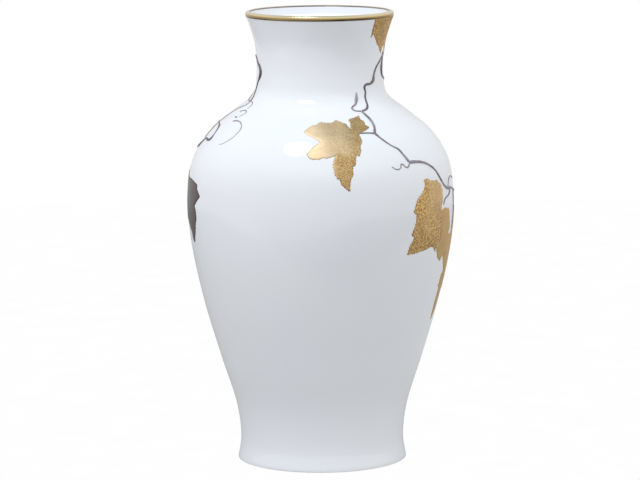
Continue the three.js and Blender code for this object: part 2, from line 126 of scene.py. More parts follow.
CAMERA_DISTANCE = 2153.4
CAMERA_HEIGHT = 465.9
CAMERA_PITCH = 8.4355  # degrees below the horizon
CAMERA_ROLL = -0.3704  # degrees
CAMERA_YAW = 0.0171  # degrees
CAMERA_LENS = 183.31
CAMERA_SENSOR = 36.0

# ---- Leaf outlines in wall coordinates, counter-clockwise from the stalk ----

FRONT_LEAF = [
    (20.8, 236), (24, 236.9), (27, 238.4), (29.5, 240.5), (27.8, 243.5), (28.2, 246.2), (26.4, 248.5),
    (26.6, 252), (23, 250.3), (20.5, 250), (18.3, 248.7), (18.5, 244.5), (17.6, 240), (16.3, 243),
    (16, 245), (13, 246.7), (9.8, 248.9), (7.5, 246.6), (4, 246.4), (0, 247), (-2.5, 244.5), (-5, 244),
    (-9, 238), (-6, 234.5), (-3, 232.5), (0, 229.2), (-3, 225.5), (-6.5, 220.5), (-5.8, 218.2),
    (-4.2, 216.4), (-0.2, 216.4), (1.2, 217.6), (3.5, 217.1), (7, 218.9), (6.2, 216), (5.6, 212),
    (6.1, 207), (7.2, 202.6), (8.2, 203.4), (8.6, 200), (10.5, 197), (12.3, 195), (12.6, 200),
    (13.2, 203.2), (14.2, 205), (14.3, 210.7), (15.6, 211.5), (16.4, 216), (16.9, 218.7), (18.2, 217.8),
    (19.4, 221), (20, 225.5), (21.4, 228.5), (21.5, 231.5),
]
FRONT_LEAF_TIPS = [(26.6, 251), (29, 240.8), (-8, 238.5), (-5.5, 220), (12.2, 196), (18.2, 219)]

STIPPLED_LEAF = [
    (64.2, 181.5), (64.8, 185), (64.6, 189.6), (63.8, 192.9), (61.4, 195.3), (60.6, 196.8), (58.5, 196.4),
    (55.2, 197), (53, 198.7), (50.4, 198.3), (50.8, 194.9), (49.8, 192), (48.5, 190), (45.2, 186.2),
    (44, 182.5), (43, 178), (44.4, 176.6), (44.3, 171.6), (43.2, 167.5), (41.9, 163.3), (43.4, 162),
    (42.9, 159.6), (41.4, 156.4), (40.2, 150.5), (45.2, 151), (51.8, 152), (56.5, 153.4), (58.4, 151.6),
    (60, 148.7), (60.6, 151), (63.7, 156), (62.8, 162.3), (62.4, 170.3), (62.8, 176.6), (63.5, 179.4),
]
STIPPLED_LEAF_TIPS = [(50.8, 197.5), (43.8, 178), (41.5, 151.2), (59.6, 149.6)]

PLAIN_LEAF = [
    (80.3, 161), (78, 158), (75.5, 157.5), (72.8, 159.4), (75.2, 161.3), (74.4, 166), (73.2, 171.2),
    (72, 175.7), (66.5, 177.1), (63.2, 176.4), (62.7, 170.3), (63.1, 162.3), (64, 156), (61, 150.6),
    (61.9, 148), (63, 144.7), (66.5, 141.4), (68.2, 143.4), (69.2, 145.4), (71.2, 140.7), (76, 133),
    (73.4, 130.3), (72.6, 124.7), (71.2, 123.3), (73.8, 121.9), (73, 114.9), (72.8, 110.1), (72.8, 104.5),
    (73.2, 99), (76.5, 105), (79, 113), (80.5, 120), (83, 119), (84, 126), (88, 124), (89, 131),
    (95, 129), (95.5, 138), (99, 142), (97, 148), (102, 154), (97, 159.5), (99.5, 167), (93, 169.5),
    (89.5, 175), (86.5, 170.5), (84.2, 164),
]
PLAIN_LEAF_TIPS = [(66, 176.5), (62, 149), (66.5, 142.5), (74, 101), (88, 125), (101, 154), (90, 174)]

LIP_LEAF = [
    (48.5, 320), (48.6, 313), (48.5, 306.5), (51.5, 309), (55, 306), (61, 301.5), (66, 298.8),
    (69.8, 294.8), (74, 298.8), (79, 300.8), (83.5, 297.5), (88, 291.5), (91, 298), (96, 299.5),
    (101, 303), (106.5, 301), (105.5, 307), (109, 312), (107, 320),
]
LIP_LEAF_TIPS = [(49, 307.5), (69.5, 296), (87.5, 293), (105.5, 302)]

DARK_LEAF = [
    (-88, 197), (-92, 199.5), (-97, 196), (-101, 197.5), (-103, 190.5), (-108, 186), (-105, 180.5),
    (-107, 174), (-102, 170.5), (-100.5, 164), (-98, 158), (-94, 161.5), (-90, 167), (-84, 167),
    (-80, 164.2), (-75.8, 160.4), (-75.2, 155.8), (-73, 153.6), (-70.2, 160.8), (-68.8, 167),
    (-67.5, 171.2), (-68, 175.7), (-69.5, 179.3), (-65.5, 183.7), (-63.5, 185.8), (-67, 190.4),
    (-67.2, 193.3), (-73.2, 194.9), (-82.8, 195.6),
]
DARK_LEAF_TIPS = [(-100.5, 196.5), (-107, 186), (-98, 159.5), (-73.5, 155), (-64, 185.8), (-68, 193)]

# ---- Canes, shoots and tendrils: (azimuth, climb, width) along the middle ----

STROKES = {
    "neck_cane": [
        (79, 295.6, 0.9), (75, 292.6, 1.1), (68, 289.3, 1.3), (61, 285.6, 1.5), (57, 281, 1.8),
        (55.5, 277.8, 2.6), (51, 276, 1.6), (45, 275.6, 1.6), (43.2, 274.2, 1.7), (43.6, 271, 1.4),
        (42, 268, 1.4), (40.5, 263, 1.4), (38.5, 259.5, 1.5), (35, 257, 1.6), (31.2, 256, 1.8),
    ],
    "neck_shoot": [
        (78.5, 293, 1), (76, 289, 2), (73.8, 284.5, 2.4), (75.5, 280.5, 2), (81, 278.3, 1.5),
        (90, 277.2, 1.2), (99, 273.5, 1), (104, 268, 0.8),
    ],
    "shoulder_shoot": [
        (30.8, 255.9, 1.5), (27, 256.3, 1.4), (25, 257.5, 1.3), (24.6, 259.2, 1.2), (26, 260.8, 1.2),
        (29, 262.5, 1.4), (31, 265, 2), (32.6, 268, 2.2), (33.5, 271.5, 0.8),
    ],
    "shoulder_cane": [
        (30.5, 255.8, 1.7), (32, 252, 1.9), (33.2, 248, 1.9), (33.3, 243, 1.8), (32.3, 239, 1.7),
        (30.8, 234.8, 1.9), (31.7, 232.3, 1.6), (34, 228, 1.3), (37, 224, 1.2), (40, 221, 1.5),
        (41.5, 217, 1.6), (43, 212.8, 2), (43.5, 211, 2),
    ],
    "front_leaf_stalk": [(30.8, 234.8, 1.6), (27, 235.5, 1.3), (21, 235.8, 1.2)],
    "shoulder_tendril": [
        (43.4, 210.2, 1.1), (41.8, 207.9, 1), (40.4, 208.5, 0.9), (39.4, 210.3, 0.9), (38.3, 210.2, 1),
        (38, 208.5, 0.8), (36.5, 207.2, 0.8), (34.9, 207.5, 0.7), (33, 209.5, 0.6),
    ],
    "main_cane": [
        (43.2, 211, 2.2), (46, 211.1, 2.1), (52, 210, 1.8), (56, 207.7, 1.6), (60, 203.7, 1.5),
        (62.5, 199.3, 1.5), (65, 194.8, 1.5), (68, 191.2, 1.8), (71, 189.5, 2.1), (75, 189, 1.7),
        (80, 187.6, 1.4), (84, 185.8, 1.6),
    ],
    "stippled_leaf_stalk": [
        (74.5, 188.8, 1.3), (74, 186.6, 1.4), (72.2, 184.8, 1.4), (68.6, 183.6, 1.3), (66.2, 181.8, 1.3),
        (65.2, 179.2, 1.2),
    ],
    "main_tendril": [
        (71.8, 190, 0.9), (73.3, 193.6, 0.9), (76, 195.8, 1), (80, 195.6, 0.9), (83.5, 193.4, 0.7),
    ],
    "plain_leaf_stalk": [(82.6, 186.4, 1.3), (82.2, 178, 1.3), (81.4, 170, 1.3), (80.4, 160.6, 1.2)],
    "back_cane_1": [(84, 185.8, 1.6), (93, 184, 1.7), (103, 185.5, 1.8), (112, 190.5, 2.3)],
    "back_cane_2": [
        (112, 190.5, 2.3), (122, 193, 1.8), (133, 197.5, 1.7), (142, 205, 1.9), (150, 208, 2.4),
    ],
    "back_cane_3": [(150, 208, 2.4), (161, 208.5, 1.8), (173, 212.5, 1.7), (186, 214.5, 2.2)],
    "back_cane_4": [
        (186, 214.5, 2.2), (200, 213, 1.7), (214, 209, 1.7), (228, 208.3, 1.8), (241, 211.5, 2.3),
    ],
    "back_cane_5": [
        (241, 211.5, 2.3), (255, 212.6, 1.8), (265, 214.6, 1.7), (273.6, 218.2, 2), (275.7, 221, 1.5),
    ],
    "left_shoulder_cane": [
        (-84.3, 220.8, 1.4), (-80, 224.2, 1.3), (-74.6, 223.9, 2), (-71.6, 225.2, 2.2), (-72, 229.1, 1.1),
        (-73.8, 233.1, 1.1), (-77.2, 236, 1.7), (-82, 237, 1.1), (-89, 237.5, 1.1), (-98, 236.2, 1.2),
        (-107, 238.5, 1.3), (-116, 243, 1),
    ],
    "left_outer_cane": [
        (-89.3, 236.6, 0.9), (-88.8, 234, 0.9), (-86.2, 230.5, 1), (-85.6, 226.6, 1), (-84.4, 223.8, 1.2),
    ],
    "left_neck_cane": [
        (-102, 291.5, 1.4), (-91, 292.8, 1.4), (-81.5, 291.9, 1.5), (-75.5, 288.3, 2),
        (-70.5, 286.5, 2.7), (-68, 283.2, 3), (-69.4, 280.2, 2.6), (-74, 276.7, 1.4), (-77.5, 273.1, 1.2),
        (-78.5, 268.6, 1.2), (-76.2, 265.4, 1.3), (-74.2, 262, 1.6),
    ],
    "left_neck_twig": [
        (-74, 261.8, 1.1), (-73.6, 259, 0.9), (-78.5, 255.4, 0.9), (-84.2, 251.2, 0.9), (-89, 247, 0.9),
        (-91, 242.5, 0.9), (-90.5, 238.2, 0.9),
    ],
    "left_back_twig": [
        (-74.4, 261.7, 1.2), (-84.2, 262.4, 1.1), (-91, 264.6, 1), (-97, 268.5, 0.9), (-100, 273, 0.8),
    ],
    "left_neck_tendril": [
        (-74, 262.2, 0.8), (-67.2, 261.3, 0.7), (-64.2, 258.4, 0.6), (-64.5, 255.4, 0.4),
    ],
    "left_short_tendril": [
        (-69.8, 251.2, 0.7), (-68.8, 252.4, 0.8), (-64, 253.6, 0.8), (-60.8, 252.2, 0.7),
        (-61.3, 249.7, 0.5), (-64.3, 247.5, 0.4),
    ],
    "left_bud_mark": [(-69.3, 246.8, 0.7), (-67.5, 246.7, 1.1), (-65.3, 246, 0.7)],
    "left_curl": [
        (-65.5, 242.6, 0.9), (-61.8, 243.7, 1), (-57.2, 243.3, 0.8), (-53.2, 241.1, 0.7),
        (-51.2, 238.9, 0.7), (-50, 236, 0.7), (-50.3, 232.7, 0.6), (-51.2, 229.4, 0.5),
        (-53.5, 226.3, 0.45), (-56.2, 223.8, 0.4), (-59, 222.7, 0.35),
    ],
    "dark_leaf_stalk": [(-98, 213.6, 1.3), (-99, 208, 1.3), (-98, 204, 1.2), (-93.5, 199.5, 1.1)],
    "back_neck_cane_1": [
        (107, 301.5, 1.1), (120, 296, 1.3), (133, 293.5, 1.5), (146, 288, 1.8), (152, 283, 2.6),
    ],
    "back_neck_cane_2": [
        (152, 283, 2.6), (165, 281, 1.6), (182, 284, 1.5), (200, 286, 1.8), (218, 285, 2.4),
    ],
    "back_neck_cane_3": [(218, 285, 2.4), (236, 289.5, 1.6), (258, 291.5, 1.4)],
    "back_neck_shoot": [
        (152.5, 283, 1.6), (150, 276, 1.6), (153, 270, 1.5), (151, 264, 1.5), (155, 257, 1.6),
        (160, 252, 1.4), (161, 246, 1.2),
    ],
    "back_gold_leaf_stalk": [(186.5, 214.6, 1.4), (188.8, 220, 1.2), (188.2, 226.2, 1.1)],
    "back_dark_leaf_stalk": [(151, 208, 1.4), (150, 202, 1.3), (146.5, 196, 1.2), (146, 187.6, 1.1)],
    "back_hanging_leaf_stalk": [
        (228, 208.3, 1.3), (226.5, 201, 1.2), (222, 195.5, 1.2), (220.5, 187.6, 1.1),
    ],
    "back_curl": [
        (112.5, 190.6, 1.1), (113, 196, 1), (116, 201, 1), (121, 204.5, 0.9), (126, 203.5, 0.9),
        (127.5, 199.5, 0.8), (124.5, 197.3, 0.7),
    ],
    "back_tendril": [
        (241, 211.5, 1.1), (243, 217, 1), (248, 221, 1), (252, 226.5, 0.9), (249.5, 231, 0.8),
        (245, 230.5, 0.8), (244, 226.8, 0.7),
    ],
}

# The canes that are darker or paler than the mauve of the rest.
DARK_STROKES = {
    "neck_cane", "neck_shoot", "left_neck_cane", "left_shoulder_cane", "dark_leaf_stalk", "back_neck_cane_1",
    "back_neck_cane_2", "back_neck_cane_3", "back_neck_shoot", "back_cane_5", "back_dark_leaf_stalk",
}
PALE_STROKES = {
    "shoulder_shoot", "shoulder_tendril", "left_neck_twig", "left_back_twig", "left_neck_tendril",
    "left_short_tendril", "left_curl", "back_curl", "back_tendril",
}


# ---- Curves and the wall ----

def smooth_curve(points, per_span):
    """Centripetal Catmull-Rom curve through the points, whatever their number of coordinates."""
    points = np.asarray(points, float)
    pieces = []
    last = len(points) - 2
    for i in range(last + 1):
        here, there = points[i], points[i + 1]
        before = points[i - 1] if i > 0 else 2 * here - there
        after = points[i + 2] if i < last else 2 * there - here
        spans = ((before, here), (here, there), (there, after))
        knots = [max(math.sqrt(np.linalg.norm(b - a)), 1e-4) for a, b in spans]
        step = there - here
        slope = ((here - before) / knots[0] - (there - before) / (knots[0] + knots[1])
                 + step / knots[1]) * knots[1]
        next_slope = (step / knots[1] - (after - here) / (knots[1] + knots[2])
                      + (after - there) / knots[2]) * knots[1]
        t = np.linspace(0, 1, per_span, endpoint=i == last)[:, None]
        pieces.append(
            here + slope * t + (3 * step - 2 * slope - next_slope) * t ** 2
            + (-2 * step + slope + next_slope) * t ** 3
        )
    return np.concatenate(pieces)


def travelled(points):
    """The distance along the points from the first one to each."""
    steps = np.linalg.norm(np.diff(points, axis=0), axis=1)
    return np.concatenate([[0], np.cumsum(steps)])


WALL = smooth_curve(WALL_STATIONS, per_span=80)
WALL_CLIMB = travelled(WALL)
WALL_LENGTH = WALL_CLIMB[-1]
WALL_SLOPE = np.gradient(WALL, WALL_CLIMB, axis=0)


def wall_at(climb):
    """Radius, height and outward direction (outward, upward) of the outside of the wall."""
    radius = np.interp(climb, WALL_CLIMB, WALL[:, 0])
    height = np.interp(climb, WALL_CLIMB, WALL[:, 1])
    outward = np.interp(climb, WALL_CLIMB, WALL_SLOPE[:, 1])
    upward = -np.interp(climb, WALL_CLIMB, WALL_SLOPE[:, 0])
    return radius, height, outward, upward


def on_wall(azimuth, climb, lift):
    """Points in metres at an azimuth in degrees and a climb, lifted off the wall by lift."""
    radius, height, outward, upward = wall_at(climb)
    reach = radius + lift * outward
    turn = np.radians(azimuth)
    return np.stack([reach * np.sin(turn), -reach * np.cos(turn), height + lift * upward], axis=-1) * MM


# ---- Meshes ----

def new_object(name, data):
    made = bpy.data.objects.new(name, data)
    bpy.context.scene.collection.objects.link(made)
    return made


def piece(name, vertices, faces, materials, nodes):
    """A smooth mesh piece that rides on the vase and stands for the CAD nodes."""
    mesh = bpy.data.meshes.new(name)
    mesh.from_pydata([tuple(v) for v in vertices], [], faces)
    mesh.validate()
    mesh.shade_smooth()
    for material in materials:
        mesh.materials.append(material)
    made = new_object(name, mesh)
    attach(made, "root")
    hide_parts(*nodes)
    return made


def lathe(profile, closed, segments=LATHE_SEGMENTS):
    """Vertices and faces of a (radius, height) profile turned round the axis, where it has one vertex."""
    vertices = []
    rings = []
    for radius, height in profile:
        if radius < 1e-6:
            rings.append([len(vertices)] * segments)
            vertices.append((0, 0, height * MM))
            continue
        rings.append(list(range(len(vertices), len(vertices) + segments)))
        for i in range(segments):
            turn = 2 * math.pi * i / segments
            x, y = radius * math.sin(turn), -radius * math.cos(turn)
            vertices.append((x * MM, y * MM, height * MM))
    faces = []
    pairs = list(zip(rings, rings[1:]))
    if closed:
        pairs.append((rings[-1], rings[0]))
    for low, high in pairs:
        for i in range(segments):
            j = (i + 1) % segments
            corners = [low[i], low[j], high[j], high[i]]
            faces.append(tuple(dict.fromkeys(corners)))
    return vertices, faces


def arc(centre_radius, centre_height, radius, start, end, steps):
    """Profile points round a centre, from the angle start to end, in degrees from straight outward."""
    angles = np.radians(np.linspace(start, end, steps + 1))
    outward, upward = radius * np.cos(angles), radius * np.sin(angles)
    return np.stack([centre_radius + outward, centre_height + upward], axis=1)


def lip_profile(offset, start, end, steps):
    """Profile points round the lip, offset from the glaze."""
    return arc(LIP_RING_RADIUS, LIP_CENTRE_HEIGHT, LIP_RADIUS + offset, start, end, steps)


def wall_profile(first, last, step, offset=0.0):
    """Profile points up the outside of the wall between two climbs, offset from the glaze."""
    count = max(2, int(round((last - first) / step)) + 1)
    climbs = np.linspace(first, last, count)
    radius, height, outward, upward = wall_at(climbs)
    return np.stack([radius + offset * outward, height + offset * upward], axis=1)


def make_body(glaze, inner_glaze_painted_light, bisque):
    """The whole porcelain body, glazed all over apart from the ring that it stands on."""
    foot_radius = WALL_STATIONS[0][0]
    recess_edge = FOOT_RING_INNER_RADIUS - FOOT_RECESS
    # From the middle of the recess down the inside of the ring and across it.
    foot = [
        *((recess_edge * share, FOOT_RECESS) for share in (0, 0.35, 0.7, 0.95)),
        (recess_edge + 0.6, FOOT_RECESS - 0.15),
        *arc(FOOT_RING_INNER_RADIUS - 0.1, FOOT_RECESS, FOOT_RECESS - 0.9, start=215, end=250, steps=3),
        (FOOT_RING_INNER_RADIUS - FOOT_RING_EDGE, FOOT_RING_EDGE),
        (FOOT_RING_INNER_RADIUS - FOOT_RING_EDGE / 3, FOOT_RING_EDGE / 4),
        (FOOT_RING_INNER_RADIUS + 0.2, 0),
        (foot_radius - FOOT_RING_EDGE, 0),
        (foot_radius - FOOT_RING_EDGE / 4, FOOT_RING_EDGE / 4),
    ]
    outside = wall_profile(FOOT_RING_EDGE, WALL_LENGTH, RING_STEP)
    lip = lip_profile(0, start=0, end=180, steps=16)
    climbs = np.linspace(WALL_LENGTH - INSIDE_BELOW_LIP, INSIDE_LOWEST_CLIMB, INSIDE_STEPS)
    radius, height, outward, upward = wall_at(climbs)
    wall = np.interp(climbs, (0, WALL_LENGTH), (WALL_THICKNESS_AT_FOOT, WALL_THICKNESS_AT_LIP))
    inside = np.stack([radius - wall * outward, height - wall * upward], axis=1)
    inside = inside[inside[:, 1] > FLOOR_HEIGHT + FLOOR_CORNER]
    floor_edge = inside[-1][0] - FLOOR_CORNER
    floor = [
        *arc(floor_edge, FLOOR_HEIGHT + FLOOR_CORNER, FLOOR_CORNER, start=0, end=-90, steps=10)[1:],
        *((floor_edge * share, FLOOR_HEIGHT) for share in (0.7, 0.35, 0)),
    ]
    vertices, faces = lathe([*foot, *outside, *lip, *inside, *floor], closed=False)
    materials = [glaze, inner_glaze_painted_light, bisque]
    body = piece("porcelain_body_glazed", vertices, faces, materials, ["porcelain_body"])
    first_inside = (len(foot) + len(outside) + len(lip)) * LATHE_SEGMENTS
    bare_height = 0.6 * FOOT_RING_EDGE * MM
    for face in body.data.polygons:
        centre = face.center
        if centre.z < bare_height and math.hypot(centre.x, centre.y) > FOOT_RING_INNER_RADIUS * MM:
            face.material_index = materials.index(bisque)
        # The inside takes the whiter, faintly glowing copy of the glaze: painted light that brightens it.
        elif face.index >= first_inside:
            face.material_index = materials.index(inner_glaze_painted_light)


def make_gilt_band(gold):
    """A thin film over the lip: its own section follows the lip outside and reaches into the glaze."""
    start = float(np.interp(GILT_BAND_BOTTOM, WALL[:, 1], WALL_CLIMB))
    over = [
        *wall_profile(start, WALL_LENGTH, step=0.3, offset=GILDING_FILM),
        *lip_profile(GILDING_FILM, 0, GILT_BAND_INSIDE_ANGLE, steps=22),
    ]
    under = [
        *lip_profile(-EMBED, GILT_BAND_INSIDE_ANGLE, 0, steps=12),
        *wall_profile(start, WALL_LENGTH, step=0.5, offset=-EMBED)[::-1],
    ]
    vertices, faces = lathe([*over, *under], closed=True)
    piece("gilt_lip_film", vertices, faces, [gold], ["gilt_lip_band"])


def inside_outline(points, outline):
    """True for each point inside the closed outline."""
    crossings = np.zeros(len(points), bool)
    for a, b in zip(outline, np.roll(outline, -1, axis=0)):
        spans = (a[1] > points[:, 1]) != (b[1] > points[:, 1])
        if a[1] != b[1]:
            where = a[0] + (points[:, 1] - a[1]) * (b[0] - a[0]) / (b[1] - a[1])
            crossings ^= spans & (points[:, 0] < where)
    return crossings


def distance_to_segments(points, starts, ends):
    """Distance from each point to the nearest of the segments."""
    best = np.full(len(points), 1e9)
    for a, b in zip(starts, ends):
        along = b - a
        share = np.clip(((points - a) @ along) / max(along @ along, 1e-12), 0, 1)
        best = np.minimum(best, np.linalg.norm(points - (a + share[:, None] * along), axis=1))
    return best


def smoothstep(low, high, value):
    """0 below low, 1 above high and a smooth change between."""
    t = np.clip((value - low) / (high - low), 0, 1)
    return t * t * (3 - 2 * t)


def noise_at(points, scale, seed):
    """Smooth noise from -1 to 1 at 2D points."""
    return np.array([noise.noise(Vector((x * scale, y * scale, seed))) for x, y in points])


def toothed_outline(corners, seed):
    """The outline with the fine uneven teeth of a vine leaf along each side, and its corners left sharp."""
    made = []
    for i, (a, b) in enumerate(zip(corners, np.roll(corners, -1, axis=0))):
        length = np.linalg.norm(b - a)
        outward = np.array([b[1] - a[1], a[0] - b[0]]) / length
        steps = max(2, int(math.ceil(length / EDGE_STEP)))
        teeth = max(1, round(length / TOOTH_LENGTH))
        depth = min(TOOTH_DEPTH, TOOTH_DEPTH_SHARE * length)
        for t in np.arange(steps) / steps:
            number, rise = divmod(t * teeth, 1)
            size = TOOTH_SIZE + TOOTH_UNEVENNESS * noise.noise(Vector((i * 5.3 + number * 1.7, seed, 0.4)))
            tooth = min(rise / TOOTH_PEAK, (1 - rise) / (1 - TOOTH_PEAK))
            wander = noise.noise(Vector((i * 3.1 + t * length * 0.9, seed, 0.5)))
            stray = EDGE_WANDER * wander * 4 * t * (1 - t)
            made.append(a + (b - a) * t + outward * depth * (size * tooth + stray))
    return np.array(made)


def vein_segments(stalk, tips):
    """Main veins from the stalk to each lobe's tip, with side veins that leave them forwards."""
    starts, ends, weights = [], [], []
    for tip in tips:
        main = tip - stalk
        length = np.linalg.norm(main)
        ahead = main / length
        starts.append(stalk)
        ends.append(stalk + main * VEIN_REACH)
        weights.append(1.0)
        for k, share in enumerate(SIDE_VEIN_PLACES):
            side = 1 if k % 2 else -1
            swing = math.radians(SIDE_VEIN_ANGLE * side)
            turned = np.array([
                ahead[0] * math.cos(swing) - ahead[1] * math.sin(swing),
                ahead[0] * math.sin(swing) + ahead[1] * math.cos(swing),
            ])
            foot = stalk + main * share
            starts.append(foot)
            ends.append(foot + turned * length * SIDE_VEIN_LENGTH * (1.1 - share))
            weights.append(SIDE_VEIN_STRENGTH)
    return np.array(starts), np.array(ends), np.array(weights)


def triangulated(outline, grid):
    """Points and triangles that fill the outline, and the point of each outline corner, in order."""
    low = outline.min(axis=0)
    high = outline.max(axis=0)
    row_height = grid * math.sqrt(3) / 2
    rows = np.arange(low[1], high[1], row_height)
    spots = [
        (x, y)
        for k, y in enumerate(rows)
        for x in np.arange(low[0] + (k % 2) * grid / 2, high[0], grid)
    ]
    spots = np.array(spots)
    ends = np.roll(outline, -1, axis=0)
    spots = spots[inside_outline(spots, outline)]
    spots = spots[distance_to_segments(spots, outline, ends) > grid * 0.45]
    count = len(outline)
    loop = [(i, (i + 1) % count) for i in range(count)]
    given = [Vector(p) for p in np.concatenate([outline, spots])]
    points, _, triangles, came_from, _, _ = delaunay_2d_cdt(given, loop, [], 1, 1e-5)
    corner_of = {source: i for i, sources in enumerate(came_from) for source in sources if source < count}
    corners = [corner_of[i] for i in range(count)]
    return np.array([tuple(p) for p in points]), [tuple(t) for t in triangles], corners


def make_leaf(name, corners, tips, stalk, stipple, material, seed):
    """A low relief leaf with a rounded edge, sunken veins and a stippled surface, as one closed mesh.

    corners, tips and stalk are in wall coordinates. stipple(x, y) gives the stipple's strength from shares of
    the leaf's width and height.
    """
    middle = sum(azimuth for azimuth, _ in corners) / len(corners)

    def flat(points):
        points = np.asarray(points, float).reshape(-1, 2)
        radius = wall_at(points[:, 1])[0]
        return np.stack([np.radians(points[:, 0] - middle) * radius, points[:, 1]], axis=1)

    def wrapped(points, lift):
        radius = wall_at(points[:, 1])[0]
        return on_wall(middle + np.degrees(points[:, 0] / radius), points[:, 1], lift)

    outline = toothed_outline(flat(corners), seed)
    ends = np.roll(outline, -1, axis=0)
    top, top_faces, top_loop = triangulated(outline, LEAF_GRID)
    back, back_faces, back_loop = triangulated(outline, LEAF_BACK_GRID)

    rim = distance_to_segments(top, outline, ends)
    body = smoothstep(0, LEAF_EDGE_ROUNDING, rim)
    starts, stops, weights = vein_segments(flat(stalk)[0], flat(tips))
    veins = np.zeros(len(top))
    for start, stop, weight in zip(starts, stops, weights):
        near = distance_to_segments(top, [start], [stop])
        veins = np.maximum(veins, weight * (1 - smoothstep(0.1, VEIN_HALF_WIDTH, near)))
    low, high = outline.min(axis=0), outline.max(axis=0)
    share = (top - low) / (high - low)
    strength = stipple(share[:, 0], share[:, 1])
    coarse = noise_at(top, 1 / STIPPLE_SIZE, seed)
    fine = noise_at(top, STIPPLE_FINER / STIPPLE_SIZE, seed + 7)
    maze = np.abs(coarse + STIPPLE_FINER_SHARE * fine)
    pits = (1 - smoothstep(0.02, GROOVE_WIDTH + GROOVE_WIDENING * strength, maze)) * strength
    grain = noise_at(top, GRAIN_SCALE, seed + 3)

    lift = LEAF_RELIEF * body - LEAF_EDGE_SINK * (1 - body)
    lift += body * (-STIPPLE_DEPTH * pits - VEIN_DEPTH * veins + GRAIN_DEPTH * grain * (0.3 + strength))
    vertices = np.concatenate([wrapped(top, lift), wrapped(back, np.full(len(back), -EMBED))])
    offset = len(top)
    faces = list(top_faces)
    faces += [tuple(offset + i for i in reversed(face)) for face in back_faces]
    count = len(top_loop)
    for i in range(count):
        j = (i + 1) % count
        faces.append((top_loop[j], top_loop[i], offset + back_loop[i], offset + back_loop[j]))
    made = piece(name + "_relief", vertices, faces, [material], [name])

    # Painted shade: each leaf is darkened in its stipple grooves, along its sunken veins and towards its
    # sloping edge.
    edge_dark = 1 - smoothstep(0.1, LEAF_DARK_EDGE, rim)
    edge_dark = EDGE_SHADE * edge_dark * (0.15 + strength)
    dark = np.clip(PIT_SHADE * pits + VEIN_SHADE * veins + edge_dark, 0, 1)
    for attribute, values, on_back in (("painted_shade", dark, 1), ("silk", 1 - strength, 0)):
        spread = made.data.attributes.new(attribute, "FLOAT", "POINT")
        values = np.concatenate([values, np.full(len(back), on_back)])
        spread.data.foreach_set("value", values.astype(np.float32))


def make_stroke(name, path, material, seed):
    """A raised line of changing width, round on top and tapered to a point at both ends."""
    path = np.asarray(path, float)
    radius = wall_at(path[:, 1])[0]
    middle = path[:, 0].mean()
    flat = np.stack([np.radians(path[:, 0] - middle) * radius.mean(), path[:, 1], path[:, 2]], axis=1)
    curve = smooth_curve(flat, per_span=24)
    gone = travelled(curve[:, :2])
    count = max(6, int(gone[-1] / STROKE_STEP))
    stations = np.linspace(0, gone[-1], count)
    centre = np.stack([np.interp(stations, gone, curve[:, k]) for k in range(3)], axis=1)
    stretch = radius.mean() / wall_at(centre[:, 1])[0]
    ahead = np.gradient(centre[:, :2], stations, axis=0)
    ahead[:, 0] /= stretch
    ahead /= np.linalg.norm(ahead, axis=1)[:, None]
    uneven = np.array([noise.noise(Vector((s * 0.35, seed, 1.7))) for s in stations])
    width = centre[:, 2] * (1 + STROKE_UNEVENNESS * uneven)
    from_end = np.minimum(stations, gone[-1] - stations)
    width *= np.sqrt(np.clip(from_end / (STROKE_TAPER * width), 0.02, 1))

    around = np.radians(np.linspace(0, 180, STROKE_ROUNDING))
    section = [(math.cos(t), math.sin(t)) for t in around] + [(-0.9, -1), (0.9, -1)]
    rings = []
    for across, up in section:
        offset = across * width / 2
        climb = centre[:, 1] + offset * ahead[:, 0]
        sideways = centre[:, 0] - offset * ahead[:, 1] * stretch
        height = STROKE_HEIGHT + STROKE_HEIGHT_BY_WIDTH * width
        lift = up * height if up >= 0 else np.full(count, -EMBED)
        azimuth = middle + np.degrees(sideways / radius.mean())
        rings.append(on_wall(azimuth, climb, lift))
    rings = np.stack(rings, axis=1)
    points_round = len(section)
    vertices = rings.reshape(-1, 3)
    faces = []
    for i in range(count - 1):
        for k in range(points_round):
            m = (k + 1) % points_round
            low, high = i * points_round, (i + 1) * points_round
            faces.append((low + k, high + k, high + m, low + m))
    faces.append(tuple(range(points_round)))
    faces.append(tuple(reversed(range((count - 1) * points_round, count * points_round))))
    piece(name + "_line", vertices, faces, [material], [name])


# ---- Materials ----

def new_material(name):
    """A material, its node tree and its shader."""
    material = bpy.data.materials.new(name)
    material.use_nodes = True
    tree = material.node_tree
    return material, tree, tree.nodes["Principled BSDF"]


def node(tree, kind, **settings):
    made = tree.nodes.new(kind)
    for key, value in settings.items():
        setattr(made, key, value)
    return made


def noise_texture(tree, scale, detail, stretch=(1, 1, 1)):
    """Noise over the object's own coordinates, in metres."""
    place = node(tree, "ShaderNodeTexCoord")
    mapping = node(tree, "ShaderNodeMapping")
    mapping.inputs["Scale"].default_value = stretch
    texture = node(tree, "ShaderNodeTexNoise")
    texture.inputs["Scale"].default_value = scale
    texture.inputs["Detail"].default_value = detail
    tree.links.new(place.outputs["Object"], mapping.inputs["Vector"])
    tree.links.new(mapping.outputs["Vector"], texture.inputs["Vector"])
    return texture.outputs["Fac"]


def ramp(tree, factor, stops):
    """Colour ramp from (position, colour) stops."""
    made = node(tree, "ShaderNodeValToRGB")
    elements = made.color_ramp.elements
    while len(elements) < len(stops):
        elements.new(1.0)
    for element, (position, colour) in zip(elements, stops):
        element.position = position
        element.color = (*colour, 1)
    tree.links.new(factor, made.inputs["Fac"])
    return made.outputs["Color"]


def object_place(tree):
    """The x, y and z of the object's own coordinates, in metres."""
    split = node(tree, "ShaderNodeSeparateXYZ")
    tree.links.new(node(tree, "ShaderNodeTexCoord").outputs["Object"], split.inputs["Vector"])
    return split.outputs


def feed(tree, socket, value):
    """Link the value to the socket if it is a socket too, and set it if not."""
    if isinstance(value, bpy.types.NodeSocket):
        tree.links.new(value, socket)
    else:
        socket.default_value = value


